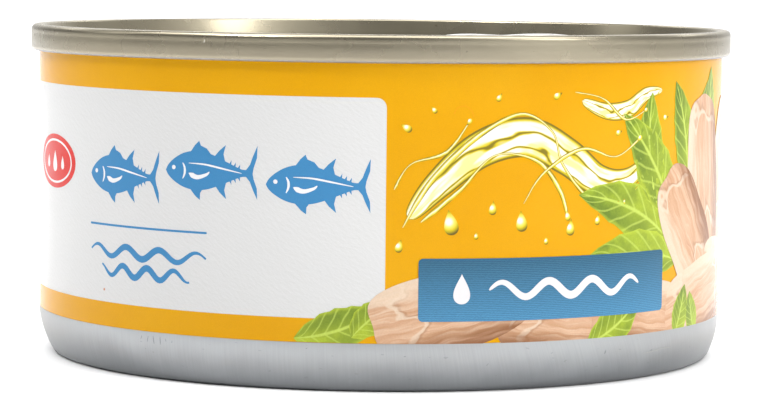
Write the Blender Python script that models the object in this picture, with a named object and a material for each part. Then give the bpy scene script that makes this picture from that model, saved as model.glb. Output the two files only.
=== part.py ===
"""A shut tuna can: a drawn metal body, a printed wrap, a seamed lid and its ring-pull tab.

Units are metres, +Z is up, and the origin is the centre of the base, on the surface that the can stands on.
"""

import math

import bmesh
import bpy
from mathutils import Matrix, Vector

MM = 0.001
SEGMENTS = 72  # facets round every turned piece
GAP = 0.3 * MM  # between pieces that touch in the real can

# The whole can
CAN_HEIGHT = 39.9 * MM
WALL_RADIUS = 42.0 * MM  # outside of the printed wrap, flush with the bare band below it

# Printed wrap
WRAP_THICKNESS = 0.2 * MM
WRAP_BOTTOM = 5.6 * MM

# Double seam round the lid
SEAM_RADIUS = 42.95 * MM
SEAM_LIP_RADIUS = 0.9 * MM  # rounding under the seam
SEAM_LIP_END = -85.0  # where that rounding stops, in degrees from outwards
SEAM_CREST_RADIUS = 0.6 * MM  # rounding of its top edges
SEAM_CREST_DIP = 100.0  # start of the inner rounding, just past the top
SEAM_LENGTH = 3.05 * MM  # from its top down to the tip of the lip
SEAM_WALL = 1.6 * MM  # radial thickness at the crest

# Lid inside the seam
CHUCK_TAPER = 1.2 * MM  # how far the inner wall leans in on its way down
GROOVE_DEPTH = 4.7 * MM  # countersink round the panel, below the crest
GROOVE_RADIUS = 0.55 * MM
PANEL_DEPTH = 3.3 * MM
PANEL_RADIUS = 38.9 * MM
PANEL_EDGE = 0.45 * MM
SCORE_RADIUS = 37.9 * MM
SCORE_WIDTH = 0.5 * MM
SCORE_DEPTH = 0.18 * MM
RECESS_RADIUS = 29.6 * MM
RECESS_DEPTH = 0.4 * MM
RECESS_SLOPE = 0.6 * MM
LID_THICKNESS = 0.4 * MM
LID_UNDER_CHAMFER = 0.8 * MM

# Body below the lid
BODY_WALL = 0.35 * MM
HEEL_TOP = 5.3 * MM  # where the wall starts to curve in
HEEL_RADIUS = 11.0 * MM
TOE_RADIUS = 0.9 * MM
TOE_ANGLE = 26.0  # slope of the heel where the toe takes over, in degrees from upright
FOOT_WIDTH = 1.1 * MM
FOOT_CHAMFER = (0.5 * MM, 0.35 * MM)  # inwards and upwards, inside the foot
BASE_RECESS = 1.6 * MM
BASE_RECESS_RUN = 0.9 * MM  # from the foot's inner edge to the foot of the recess wall
BASE_BEADS = (31.0 * MM, 23.0 * MM)
BEAD_WIDTH = 2.4 * MM
BEAD_DEPTH = 0.5 * MM

# Rivet and ring-pull tab
TAB_BEARING = 33.0  # degrees from +X towards +Y
RIVET_FROM_CENTRE = 33.2 * MM
SHANK_RADIUS = 1.7 * MM
RIVET_HEAD_RADIUS = 3.1 * MM
RIVET_HEAD_HEIGHT = 0.45 * MM
RIVET_ROUNDING = 0.2 * MM
RIVET_DIMPLE_RADIUS = 1.3 * MM
RIVET_DIMPLE_DEPTH = 0.15 * MM
RIVET_ROOT = 0.4 * MM  # how far the shank reaches into the lid
TAB_THICKNESS = 1.5 * MM
TAB_EDGE = 0.55 * MM
TAB_SLOPE = 1.6  # degrees, the finger end is the higher one
TAB_CLEARANCE = 0.4 * MM
RING_CENTRE = -14.0 * MM  # along the tab, from the rivet towards the finger end
RING_RADIUS = 9.3 * MM
NOSE_CENTRE = -1.0 * MM
NOSE_RADIUS = 5.3 * MM
FINGER_HOLE_LENGTH = 11.8 * MM
FINGER_HOLE_WIDTH = 12.6 * MM
FINGER_HOLE_CENTRE = -14.6 * MM
POCKET_RADIUS = 3.9 * MM
SHANK_HOLE_RADIUS = SHANK_RADIUS + GAP
ISLAND_THICKNESS = 0.7 * MM


def clear_scene():
    for obj in list(bpy.data.objects):
        bpy.data.objects.remove(obj)


def material(name, colour, metallic, roughness):
    made = bpy.data.materials.new(name)
    made.use_nodes = True
    shader = made.node_tree.nodes["Principled BSDF"]
    shader.inputs["Base Color"].default_value = (*colour, 1.0)
    shader.inputs["Metallic"].default_value = metallic
    shader.inputs["Roughness"].default_value = roughness
    made.diffuse_color = (*colour, 1.0)
    return made


def add_object(name, mesh, finish=None):
    obj = bpy.data.objects.new(name, mesh)
    bpy.context.collection.objects.link(obj)
    if finish:
        mesh.materials.append(finish)
    return obj


def arc(centre, radius, start, end, steps):
    """Points (radius, height) on an arc, with its angles in degrees from outwards."""
    points = []
    for i in range(steps + 1):
        angle = math.radians(start + (end - start) * i / steps)
        points.append((centre[0] + radius * math.cos(angle), centre[1] + radius * math.sin(angle)))
    return points


def turned(name, profile, finish=None, closed=False):
    """Turns a profile of (radius, height) points about Z. Two points in a row on the axis aren't joined."""
    bm = bmesh.new()
    points = [bm.verts.new((r, 0.0, z)) for r, z in profile]
    edges = [bm.edges.new((a, b)) for a, b in zip(points, points[1:]) if a.co.x or b.co.x]
    if closed:
        edges.append(bm.edges.new((points[-1], points[0])))
    bmesh.ops.spin(
        bm,
        geom=points + edges,
        cent=(0, 0, 0),
        axis=(0, 0, 1),
        angle=2 * math.pi,
        steps=SEGMENTS,
        use_merge=True,
    )
    bmesh.ops.remove_doubles(bm, verts=bm.verts, dist=0.001 * MM)
    bmesh.ops.recalc_face_normals(bm, faces=bm.faces)
    mesh = bpy.data.meshes.new(name)
    bm.to_mesh(mesh)
    bm.free()
    mesh.shade_smooth()
    mesh.set_sharp_from_angle(angle=math.radians(35))
    return add_object(name, mesh, finish)


def heel_profile():
    """From the top of the bare band, down the curved heel and round the toe to the foot at zero height."""
    centre = (WALL_RADIUS - HEEL_RADIUS, HEEL_TOP)
    heel = arc(centre, HEEL_RADIUS, 0, -TOE_ANGLE, 7)
    last_radius, last_height = heel[-1]
    lean = math.radians(TOE_ANGLE)
    toe_centre = (last_radius - TOE_RADIUS * math.cos(lean), last_height + TOE_RADIUS * math.sin(lean))
    toe = arc(toe_centre, TOE_RADIUS, -TOE_ANGLE, -90, 4)
    foot_height = toe[-1][1]
    stretch = HEEL_TOP / (HEEL_TOP - foot_height)
    return [(r, HEEL_TOP - (HEEL_TOP - z) * stretch) for r, z in heel + toe[1:]]


def base_profile(foot_radius):
    """From the inner edge of the foot to the axis, under the can, with its pressed rings."""
    inner = foot_radius - FOOT_WIDTH
    run, rise = FOOT_CHAMFER
    points = [(inner, 0.0), (inner - run, rise), (inner - BASE_RECESS_RUN, BASE_RECESS)]
    for bead in BASE_BEADS:
        half = BEAD_WIDTH / 2
        points += [
            (bead + half, BASE_RECESS),
            (bead + half / 2, BASE_RECESS - BEAD_DEPTH),
            (bead - half / 2, BASE_RECESS - BEAD_DEPTH),
            (bead - half, BASE_RECESS),
        ]
    points.append((0.0, BASE_RECESS))
    return points


def make_body(finish):
    """The drawn body. The can is shut, so it is solid up to the underside of the lid."""
    under_wrap = WALL_RADIUS - WRAP_THICKNESS - GAP
    under_lid = CAN_HEIGHT - GROOVE_DEPTH - LID_THICKNESS - GAP
    wall_top = CAN_HEIGHT - SEAM_LENGTH - GAP
    top = [
        (0.0, under_lid),
        (under_wrap - BODY_WALL, under_lid),
        (under_wrap - BODY_WALL, wall_top),
        (under_wrap, wall_top),
        (under_wrap, WRAP_BOTTOM - GAP),
    ]
    heel = heel_profile()
    foot_radius = heel[-1][0]
    return turned("can_body", top + heel + base_profile(foot_radius), finish)


def make_wrap(finish):
    outer, inner = WALL_RADIUS, WALL_RADIUS - WRAP_THICKNESS
    top = CAN_HEIGHT - SEAM_LENGTH - GAP
    ring = [(outer, top), (outer, WRAP_BOTTOM), (inner, WRAP_BOTTOM), (inner, top)]
    return turned("label", ring, finish, closed=True)


def lid_top_profile():
    """From the tip of the seam's lip, over the crest and down across the panel to the axis."""
    top = CAN_HEIGHT
    lip_centre = (SEAM_RADIUS - SEAM_LIP_RADIUS, top - SEAM_LENGTH + SEAM_LIP_RADIUS)
    crest = SEAM_CREST_RADIUS
    crest_inner = SEAM_RADIUS - SEAM_WALL
    wall_foot = crest_inner - CHUCK_TAPER
    groove_centre = (wall_foot - GROOVE_RADIUS, top - GROOVE_DEPTH + GROOVE_RADIUS)
    panel = top - PANEL_DEPTH
    points = arc(lip_centre, SEAM_LIP_RADIUS, SEAM_LIP_END, 0, 4)
    points += arc((SEAM_RADIUS - crest, top - crest), crest, 0, 90, 3)
    points += arc((crest_inner + crest, top - crest), crest, SEAM_CREST_DIP, 180, 3)
    points += arc(groove_centre, GROOVE_RADIUS, 0, -180, 4)
    points += [
        (PANEL_RADIUS + PANEL_EDGE / 3, panel - PANEL_EDGE),
        (PANEL_RADIUS, panel - PANEL_EDGE / 3),
        (PANEL_RADIUS - PANEL_EDGE / 2, panel),
        (SCORE_RADIUS + SCORE_WIDTH / 2, panel),
        (SCORE_RADIUS, panel - SCORE_DEPTH),
        (SCORE_RADIUS - SCORE_WIDTH / 2, panel),
        (RECESS_RADIUS + RECESS_SLOPE, panel),
        (RECESS_RADIUS, panel - RECESS_DEPTH),
        (0.0, panel - RECESS_DEPTH),
    ]
    return points


def lid_under_profile():
    """From the axis, under the panel and up the outside of the inner wall to the seam's lip."""
    low = CAN_HEIGHT - GROOVE_DEPTH - LID_THICKNESS
    wall_out = WALL_RADIUS - WRAP_THICKNESS - GAP - BODY_WALL - GAP
    lip_tip = CAN_HEIGHT - SEAM_LENGTH
    chamfer = LID_UNDER_CHAMFER
    return [(0.0, low), (wall_out - chamfer, low), (wall_out, low + chamfer), (wall_out, lip_tip)]


def rivet_profile(panel):
    """The rivet's shank and head, sunk a little into the panel that it is formed from."""
    island_top = panel + TAB_CLEARANCE + ISLAND_THICKNESS
    head_low = island_top + GAP
    head_top = head_low + RIVET_HEAD_HEIGHT
    root = panel - RIVET_ROOT
    return [
        (0.0, head_top - RIVET_DIMPLE_DEPTH),
        (RIVET_DIMPLE_RADIUS - RIVET_DIMPLE_DEPTH, head_top - RIVET_DIMPLE_DEPTH),
        (RIVET_DIMPLE_RADIUS, head_top),
        (RIVET_HEAD_RADIUS - RIVET_ROUNDING, head_top),
        (RIVET_HEAD_RADIUS, head_low + RIVET_ROUNDING),
        (RIVET_HEAD_RADIUS - RIVET_ROUNDING, head_low),
        (SHANK_RADIUS, head_low),
        (SHANK_RADIUS, root),
        (0.0, root),
    ]


def rivet_place():
    bearing = math.radians(TAB_BEARING)
    return Vector((RIVET_FROM_CENTRE * math.cos(bearing), RIVET_FROM_CENTRE * math.sin(bearing), 0.0))


def as_helper(obj):
    obj.hide_render = True
    obj.display_type = "WIRE"
    return obj


def make_lid(finish):
    """The seam, panel and rivet are one piece of metal: the rivet is drawn up from the panel."""
    profile = lid_top_profile() + lid_under_profile()
    lid = turned("lid", profile, finish)
    close_at_lip(lid)
    rivet = as_helper(turned("rivet_shape", rivet_profile(CAN_HEIGHT - PANEL_DEPTH)))
    rivet.location = rivet_place()
    join = lid.modifiers.new("rivet", "BOOLEAN")
    join.operation = "UNION"
    join.object = rivet
    return lid


def close_at_lip(obj):
    """Bridges the ring under the seam, between the two ends of the turned profile."""
    bm = bmesh.new()
    bm.from_mesh(obj.data)
    rims = [e for e in bm.edges if e.is_boundary]
    bmesh.ops.bridge_loops(bm, edges=rims)
    bmesh.ops.recalc_face_normals(bm, faces=bm.faces)
    bm.to_mesh(obj.data)
    bm.free()


def tab_outline():
    """The tab's outer edge: a large ring and a small nose, joined by their common tangents."""
    lean = math.acos((RING_RADIUS - NOSE_RADIUS) / (NOSE_CENTRE - RING_CENTRE))
    points = []
    for centre, radius, start, end, steps in (
        (NOSE_CENTRE, NOSE_RADIUS, -lean, lean, 14),
        (RING_CENTRE, RING_RADIUS, lean, 2 * math.pi - lean, 28),
    ):
        for i in range(steps + 1):
            angle = start + (end - start) * i / steps
            points.append((centre + radius * math.cos(angle), radius * math.sin(angle)))
    return points


def ellipse(centre, length, width, steps):
    points = []
    for i in range(steps):
        angle = 2 * math.pi * i / steps
        points.append((centre + length / 2 * math.cos(angle), width / 2 * math.sin(angle)))
    return points


def add_closed_line(curve, points):
    line = curve.splines.new("POLY")
    line.points.add(len(points) - 1)
    for point, (x, y) in zip(line.points, points):
        point.co = (x, y, 0.0, 1.0)
    line.use_cyclic_u = True


def tab_plate():
    """A flat curve with the finger hole in it, given its thickness and rolled edges, as a mesh."""
    curve = bpy.data.curves.new("tab_plate", "CURVE")
    curve.dimensions = "2D"
    curve.fill_mode = "BOTH"
    curve.extrude = TAB_THICKNESS / 2 - TAB_EDGE
    curve.bevel_depth = TAB_EDGE
    curve.bevel_resolution = 1
    curve.offset = -TAB_EDGE
    add_closed_line(curve, tab_outline())
    add_closed_line(curve, ellipse(FINGER_HOLE_CENTRE, FINGER_HOLE_LENGTH, FINGER_HOLE_WIDTH, 28))
    flat = bpy.data.objects.new("tab_plate", curve)
    bpy.context.collection.objects.link(flat)
    bpy.context.view_layer.update()
    graph = bpy.context.evaluated_depsgraph_get()
    mesh = bpy.data.meshes.new_from_object(flat.evaluated_get(graph))
    bpy.data.objects.remove(flat)
    bm = bmesh.new()
    bm.from_mesh(mesh)
    bmesh.ops.remove_doubles(bm, verts=bm.verts, dist=0.001 * MM)
    bmesh.ops.recalc_face_normals(bm, faces=bm.faces)
    bmesh.ops.translate(bm, verts=bm.verts, vec=(0, 0, TAB_THICKNESS / 2))
    bm.to_mesh(mesh)
    bm.free()
    return mesh


def make_tab(finish):
    """The ring-pull tab, with a pocket for the rivet's head and a hole for its shank."""
    tab = add_object("pull_tab", tab_plate(), finish)
    cutters = (
        ("pocket_shape", POCKET_RADIUS, ISLAND_THICKNESS, 2 * TAB_THICKNESS),
        ("shank_hole_shape", SHANK_HOLE_RADIUS, -TAB_THICKNESS, TAB_THICKNESS),
    )
    place = rivet_place() + Vector((0, 0, CAN_HEIGHT - PANEL_DEPTH + TAB_CLEARANCE))
    turn = Matrix.Rotation(math.radians(TAB_BEARING), 4, "Z")
    lean = Matrix.Rotation(math.radians(TAB_SLOPE), 4, "Y")
    tab.matrix_world = Matrix.Translation(place) @ turn @ lean
    for name, radius, low, high in cutters:
        shape = turned(name, [(0.0, high), (radius, high), (radius, low), (0.0, low)])
        shape.matrix_world = tab.matrix_world
        cut = tab.modifiers.new(name, "BOOLEAN")
        cut.operation = "DIFFERENCE"
        cut.object = as_helper(shape)
    return tab


def main():
    clear_scene()
    body_metal = material("body metal", (0.66, 0.67, 0.68), 1.0, 0.38)
    lid_metal = material("lacquered lid metal", (0.60, 0.56, 0.46), 1.0, 0.32)
    tab_metal = material("tab metal", (0.74, 0.73, 0.69), 1.0, 0.28)
    print_yellow = material("printed wrap", (0.90, 0.46, 0.02), 0.0, 0.35)
    make_body(body_metal)
    make_wrap(print_yellow)
    make_lid(lid_metal)
    make_tab(tab_metal)


main()
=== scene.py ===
import math

import bpy
from mathutils import Matrix, Vector


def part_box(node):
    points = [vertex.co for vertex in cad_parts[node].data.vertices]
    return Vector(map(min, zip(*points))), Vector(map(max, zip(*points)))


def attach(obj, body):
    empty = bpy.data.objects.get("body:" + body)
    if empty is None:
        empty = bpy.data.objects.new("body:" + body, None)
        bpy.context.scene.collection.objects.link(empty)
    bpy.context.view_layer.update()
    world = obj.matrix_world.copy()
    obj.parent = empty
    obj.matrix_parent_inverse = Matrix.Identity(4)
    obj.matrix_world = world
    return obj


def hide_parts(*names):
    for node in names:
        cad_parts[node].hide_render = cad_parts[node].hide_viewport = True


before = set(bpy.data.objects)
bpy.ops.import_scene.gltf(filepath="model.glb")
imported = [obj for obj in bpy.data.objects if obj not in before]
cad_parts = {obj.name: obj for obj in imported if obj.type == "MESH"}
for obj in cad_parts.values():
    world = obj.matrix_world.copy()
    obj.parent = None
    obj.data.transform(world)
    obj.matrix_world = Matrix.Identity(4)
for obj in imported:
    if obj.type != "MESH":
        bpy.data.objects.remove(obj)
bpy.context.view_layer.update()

mm = 0.001
weldWithin = 0.002 * mm
cutWithin = 0.0001  # in millimetres, the unit of a print while it is flat
lidLow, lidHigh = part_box("lid")
wrapLow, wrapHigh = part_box("label")

can = {
    "height": lidHigh.z,
    "wall": wrapHigh.x,  # outside of the printed wrap
    "seam": lidHigh.x,
    "lidUnder": lidLow.z,
    "wrapBottom": wrapLow.z,
    "sides": 264,  # so that one facet is very nearly 1 mm wide
    "body": "root",
}
facet = 2 * math.pi * can["wall"] / can["sides"]


# Working in Blender: picking, turning and joining

def deselectAll():
    if bpy.context.object and bpy.context.object.mode != "OBJECT":
        bpy.ops.object.mode_set(mode="OBJECT")
    bpy.ops.object.select_all(action="DESELECT")


def pick(*pieces):
    deselectAll()
    for piece in pieces:
        piece.select_set(True)
    bpy.context.view_layer.objects.active = pieces[0]


def pickMesh():
    bpy.ops.mesh.select_all(action="SELECT")


def editing(piece):
    pick(piece)
    bpy.ops.object.mode_set(mode="EDIT")
    pickMesh()


def doneEditing():
    bpy.ops.object.mode_set(mode="OBJECT")


def cutAcross(place, direction, within, **options):
    pickMesh()
    bpy.ops.mesh.bisect(plane_co=place, plane_no=direction, threshold=within, **options)


def weldOutwards():  # merges doubles and points the faces outwards
    pickMesh()
    bpy.ops.mesh.remove_doubles(threshold=weldWithin)
    bpy.ops.mesh.normals_make_consistent(inside=False)


def applyModifiers(piece):
    pick(piece)
    for modifier in list(piece.modifiers):
        bpy.ops.object.modifier_apply(modifier=modifier.name)


def joined(pieces, name):
    pick(*pieces)
    bpy.ops.object.join()
    pieces[0].name = name
    return pieces[0]


def smoothByAngle(piece, degrees):
    pick(piece)
    bpy.ops.object.shade_smooth_by_angle(angle=math.radians(degrees))


def settle(piece, node=None):
    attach(piece, can["body"])
    if node:
        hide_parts(node)
    print(piece.name, len(piece.data.polygons), "faces")


def spread(count):  # even steps from 0 to 1
    return [i / count for i in range(count + 1)]


def arcPoints(centre, radius, start, end, steps):  # angles in degrees from outwards
    angles = [math.radians(start + (end - start) * t) for t in spread(steps)]
    return [(centre[0] + radius * math.cos(a), centre[1] + radius * math.sin(a)) for a in angles]


def ovalPoints(x, y, halfLength, halfHeight, steps):
    angles = [2 * math.pi * t for t in spread(steps)[:-1]]
    return [(x + halfLength * math.cos(a), y + halfHeight * math.sin(a)) for a in angles]


def turnedPiece(name, profile, closed=False, sides=can["sides"]):
    deselectAll()
    bpy.ops.mesh.primitive_plane_add(size=mm)
    piece = bpy.context.active_object
    piece.name = piece.data.name = name
    editing(piece)
    bpy.ops.mesh.merge(type="CENTER")  # one vertex, which the profile is drawn out from
    points = profile + profile[:1] if closed else profile
    bpy.ops.transform.translate(value=(points[0][0], 0, points[0][1]))
    for (r0, z0), (r1, z1) in zip(points, points[1:]):
        bpy.ops.mesh.extrude_vertices_move(TRANSFORM_OT_translate={"value": (r1 - r0, 0, z1 - z0)})
    pickMesh()
    bpy.ops.mesh.spin(steps=sides, angle=2 * math.pi, center=(0, 0, 0), axis=(0, 0, 1), use_auto_merge=True)
    weldOutwards()
    doneEditing()
    return piece


# Node helpers

def addNode(tree, kind, settings=None, **inputs):
    made = tree.nodes.new("ShaderNode" + kind)
    for key, value in (settings or {}).items():
        setattr(made, key, value)
    for key, value in inputs.items():
        put(tree, made, key, value)
    return made


def put(tree, node, key, value):  # in0, in1 and so on stand for a socket's number
    socket = node.inputs[int(key[2:])] if key.startswith("in") and key[2:].isdigit() else node.inputs[key]
    if isinstance(value, bpy.types.NodeSocket):
        tree.links.new(value, socket)
    elif isinstance(value, tuple) and len(value) == 3 and socket.type == "RGBA":
        socket.default_value = (*value, 1.0)
    else:
        socket.default_value = value


def calc(tree, operation, a, b=0.0, c=0.0):
    return addNode(tree, "Math", {"operation": operation}, in0=a, in1=b, in2=c).outputs[0]


def mixColour(tree, factor, a, b):
    return addNode(tree, "Mix", {"data_type": "RGBA"}, in0=factor, in6=a, in7=b).outputs[2]


def rescale(tree, value, ends, low=0.0, high=1.0, smooth=False):  # low at the first end, high at the second
    kind = "SMOOTHSTEP" if smooth else "LINEAR"
    made = addNode(tree, "MapRange", {"interpolation_type": kind}, Value=value)
    for key, number in (("From Min", ends[0]), ("From Max", ends[1]), ("To Min", low), ("To Max", high)):
        made.inputs[key].default_value = number
    return made.outputs[0]


def twoParts(tree, a, b, share):  # that share of a, and the rest of b
    return calc(tree, "MULTIPLY_ADD", a, share, calc(tree, "MULTIPLY", b, 1 - share))


def stretched(tree, place, scale):
    return addNode(tree, "Mapping", Vector=place, Scale=scale).outputs[0]


def objectPlace(tree, scale=(1000, 1000, 1000), turn=(0, 0, 0)):  # in millimetres unless scaled otherwise
    spot = addNode(tree, "TexCoord").outputs["Object"]
    return addNode(tree, "Mapping", Vector=spot, Rotation=turn, Scale=scale).outputs[0]


def printPlace(tree, layer):
    return addNode(tree, "UVMap", {"uv_map": layer}).outputs[0]


def roundParts(tree):  # bearing round the axis in radians, reach from it and height in millimetres
    x, y, z = addNode(tree, "SeparateXYZ", Vector=objectPlace(tree)).outputs
    bearing = calc(tree, "ARCTAN2", x, calc(tree, "MULTIPLY", y, -1.0))
    reach = calc(tree, "SQRT", calc(tree, "MULTIPLY_ADD", x, x, calc(tree, "MULTIPLY", y, y)))
    return bearing, reach, z


def noise(tree, place, scale, detail, roughness):
    made = addNode(tree, "TexNoise", Vector=place, Scale=scale, Detail=detail, Roughness=roughness)
    return made.outputs["Fac"]


def bump(tree, height, depth, strength=0.5):
    return addNode(tree, "Bump", Height=height, Strength=strength, Distance=depth).outputs[0]


def ramp(tree, value, stops):  # stops: place between 0 and 1, colour
    made = addNode(tree, "ValToRGB", Fac=value)
    points = made.color_ramp.elements
    while len(points) < len(stops):
        points.new(0.5)
    for point, (place, colour) in zip(points, stops):
        point.position = place
        point.color = (*colour, 1)
    return made.outputs[0]


def newFinish(name, colour, roughness, metallic=0.0, ior=1.5, sheen=0.5):
    made = bpy.data.materials.new(name)
    made.use_nodes = True
    shader = made.node_tree.nodes["Principled BSDF"]
    shader.inputs["Base Color"].default_value = (*colour, 1.0)
    shader.inputs["Roughness"].default_value = roughness
    shader.inputs["Metallic"].default_value = metallic
    shader.inputs["IOR"].default_value = ior
    shader.inputs["Specular IOR Level"].default_value = sheen
    return made, made.node_tree, shader


# Finishes of the metal. Each noise is its scale per millimetre, its detail and its roughness.

def specked(tree, colour, s):  # a few dark specks
    spots = noise(tree, objectPlace(tree, (1000, 1000, s["speckFlatness"])), *s["specks"])
    return mixColour(tree, rescale(tree, spots, s["speckEnds"], 0, s["speckShare"]), colour, s["speck"])


def patchy(tree, value, s):  # roughness that varies a little with the value
    return rescale(tree, value, s["dullEnds"], s["roughness"] - s["smoother"], s["roughness"] + s["rougher"])


bareTin = {
    "colour": (0.380, 0.393, 0.406),
    "shade": (0.328, 0.338, 0.347),
    "heel": (0.130, 0.137, 0.144),  # painted shade, darker towards the foot, where the foot reflects the floor's shadow
    "heelEnds": (0.2, 4.9),  # heights
    "heelShare": 0.72,
    "heelWander": 2.4,
    "clouds": (0.12, 3, 0.55),
    "lines": (4.6, 3, 0.6),  # drawing lines up the wall
    "lineShare": 0.55,
    "lineStretch": 0.03,
    "drawDepth": 0.004 * mm,
    "lean": 0.5,  # the lines slant on the right
    "leanEnds": (-0.3, 0.8),  # bearings in radians
    "toneEnds": (0.3, 0.7),
    "roughness": 0.34,
    "smoother": 0.05,
    "rougher": 0.06,
    "dullEnds": (0.3, 0.7),
    "speck": (0.16, 0.165, 0.17),
    "specks": (1.1, 1, 0.4),
    "speckFlatness": 2600,
    "speckEnds": (0.745, 0.765),
    "speckShare": 0.30,
}


def bareTinFinish():
    s = bareTin
    made, tree, shader = newFinish("bare drawn tin", s["colour"], s["roughness"], 1.0)
    bearing, reach, height = roundParts(tree)
    lean = calc(tree, "MULTIPLY", height, rescale(tree, bearing, s["leanEnds"], 0, s["lean"], True))
    along = calc(tree, "MULTIPLY_ADD", bearing, can["wall"] / mm, lean)
    up = calc(tree, "MULTIPLY", calc(tree, "SUBTRACT", height, reach), s["lineStretch"])
    upright = addNode(tree, "CombineXYZ", in0=along, in1=up).outputs[0]
    lines = noise(tree, upright, *s["lines"])
    clouds = noise(tree, objectPlace(tree), *s["clouds"])
    tone = twoParts(tree, lines, clouds, s["lineShare"])
    colour = mixColour(tree, rescale(tree, tone, s["toneEnds"]), s["shade"], s["colour"])
    # painted shade: the colour darkens towards the foot, for the floor's shadow that the foot reflects
    wander = s["heelWander"]
    wavering = calc(tree, "MULTIPLY_ADD", clouds, wander, calc(tree, "SUBTRACT", height, wander / 2))
    paintedFootShade = rescale(tree, wavering, s["heelEnds"], s["heelShare"], 0.0, True)
    colour = mixColour(tree, paintedFootShade, colour, s["heel"])
    put(tree, shader, "Base Color", specked(tree, colour, s))
    put(tree, shader, "Roughness", patchy(tree, clouds, s))
    put(tree, shader, "Normal", bump(tree, lines, s["drawDepth"]))
    return made


lacquer = {
    "colour": (0.440, 0.396, 0.292),
    "shade": (0.402, 0.360, 0.264),
    "face": (0.360, 0.322, 0.238),  # darker on the seam's outer face than on the wall inside
    "faceEnds": (42.50, 42.85),  # reaches from the axis
    # painted shade: the lacquer is coloured darker on the lip's lower part, where it turns under
    "lip": (0.300, 0.266, 0.198),
    "lipShadeEnds": (37.3, 38.4),  # heights
    "clouds": (0.16, 3, 0.55),
    "grain": (11.0, 2, 0.6),
    "grainShare": 0.45,
    "toneEnds": (0.34, 0.66),
    "hairs": (7.0, 2, 0.6),
    "hairLean": math.radians(42),
    "hairStretch": (0.07, 1.0, 1.0),
    "hairEnds": (0.42, 0.58),
    "hairLeast": 0.25,
    "hairRelief": 0.9,
    "grainRelief": 0.3,
    "depth": 0.0006 * mm,
    "roughness": 0.27,
    "smoother": 0.02,
    "rougher": 0.03,
    "dullEnds": (0.35, 0.65),
    "speck": (0.13, 0.115, 0.09),
    "specks": (1.25, 1, 0.5),
    "speckFlatness": 1500,
    "speckEnds": (0.775, 0.800),
    "speckShare": 0.4,
}


def lacquerFinish():
    s = lacquer
    made, tree, shader = newFinish("satin lacquer over tin", s["colour"], s["roughness"], 1.0)
    place = objectPlace(tree)
    bearing, reach, height = roundParts(tree)
    clouds = noise(tree, place, *s["clouds"])
    grain = noise(tree, place, *s["grain"])
    tone = twoParts(tree, grain, clouds, s["grainShare"])
    colour = mixColour(tree, rescale(tree, tone, s["toneEnds"]), s["shade"], s["colour"])
    colour = mixColour(tree, rescale(tree, reach, s["faceEnds"]), colour, s["face"])
    # painted shade, darker down the seam's lower lip
    colour = mixColour(tree, rescale(tree, height, s["lipShadeEnds"], 1, 0, True), colour, s["lip"])
    put(tree, shader, "Base Color", specked(tree, colour, s))
    along = calc(tree, "MULTIPLY", bearing, can["seam"] / mm)
    rim = addNode(tree, "CombineXYZ", in0=along, in1=calc(tree, "SUBTRACT", height, reach)).outputs[0]
    turned = addNode(tree, "Mapping", Vector=rim, Rotation=(0, 0, s["hairLean"])).outputs[0]
    hairs = noise(tree, stretched(tree, turned, s["hairStretch"]), *s["hairs"])
    hairs = calc(tree, "MULTIPLY", hairs, rescale(tree, clouds, s["hairEnds"], s["hairLeast"], 1.0))
    fine = calc(tree, "MULTIPLY", grain, s["grainRelief"])
    relief = calc(tree, "MULTIPLY_ADD", hairs, s["hairRelief"], fine)
    put(tree, shader, "Roughness", patchy(tree, clouds, s))
    put(tree, shader, "Normal", bump(tree, relief, s["depth"]))
    return made


dullEdge = {
    "colour": (0.360, 0.360, 0.366),
    "shade": (0.300, 0.300, 0.306),
    "roughness": 0.5,
    "metal": 0.75,
    "grain": (3.0, 3, 0.6),
    "toneEnds": (0.3, 0.7),
}


def dullEdgeFinish():  # the sheet's bare edge, under the seam
    s = dullEdge
    made, tree, shader = newFinish("dull bare edge", s["colour"], s["roughness"], s["metal"])
    tone = rescale(tree, noise(tree, objectPlace(tree), *s["grain"]), s["toneEnds"])
    put(tree, shader, "Base Color", mixColour(tree, tone, s["shade"], s["colour"]))
    return made


rolledSheet = {  # the lid's flat panel, with rolling lines all one way
    "colour": lacquer["colour"],
    "shade": lacquer["shade"],
    "roughness": lacquer["roughness"],
    "smoother": 0.05,
    "rougher": 0.08,
    "dullEnds": (0.3, 0.7),
    "turn": math.radians(17),
    "lineStretch": 25,
    "lines": (5.0, 3, 0.6),
    "clouds": (0.08, 3, 0.55),
    "lineShare": 0.6,
    "toneEnds": (0.32, 0.68),
    "depth": 0.003 * mm,
    "strength": 0.5,
}
pressedMetal = {
    "colour": (0.93, 0.92, 0.90),
    "shade": (0.86, 0.85, 0.83),
    "roughness": 0.36,
    "smoother": 0.05,
    "rougher": 0.08,
    "dullEnds": (0.3, 0.7),
    "turn": 0.6,
    "lineStretch": 120,
    "lines": (5.0, 3, 0.6),
    "clouds": (0.3, 2, 0.5),
    "lineShare": 0.5,
    "toneEnds": (0.34, 0.66),
    "depth": 0.002 * mm,
    "strength": 0.4,
}


def linedFinish(name, s):  # metal with fine lines all one way
    made, tree, shader = newFinish(name, s["colour"], s["roughness"], 1.0)
    lines = noise(tree, objectPlace(tree, (1000, s["lineStretch"], 1000), (0, 0, s["turn"])), *s["lines"])
    clouds = noise(tree, objectPlace(tree), *s["clouds"])
    tone = rescale(tree, twoParts(tree, lines, clouds, s["lineShare"]), s["toneEnds"])
    put(tree, shader, "Base Color", mixColour(tree, tone, s["shade"], s["colour"]))
    put(tree, shader, "Roughness", patchy(tree, lines, s))
    put(tree, shader, "Normal", bump(tree, lines, s["depth"], s["strength"]))
    return made


# Body: bare band, heel, foot and base

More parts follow.
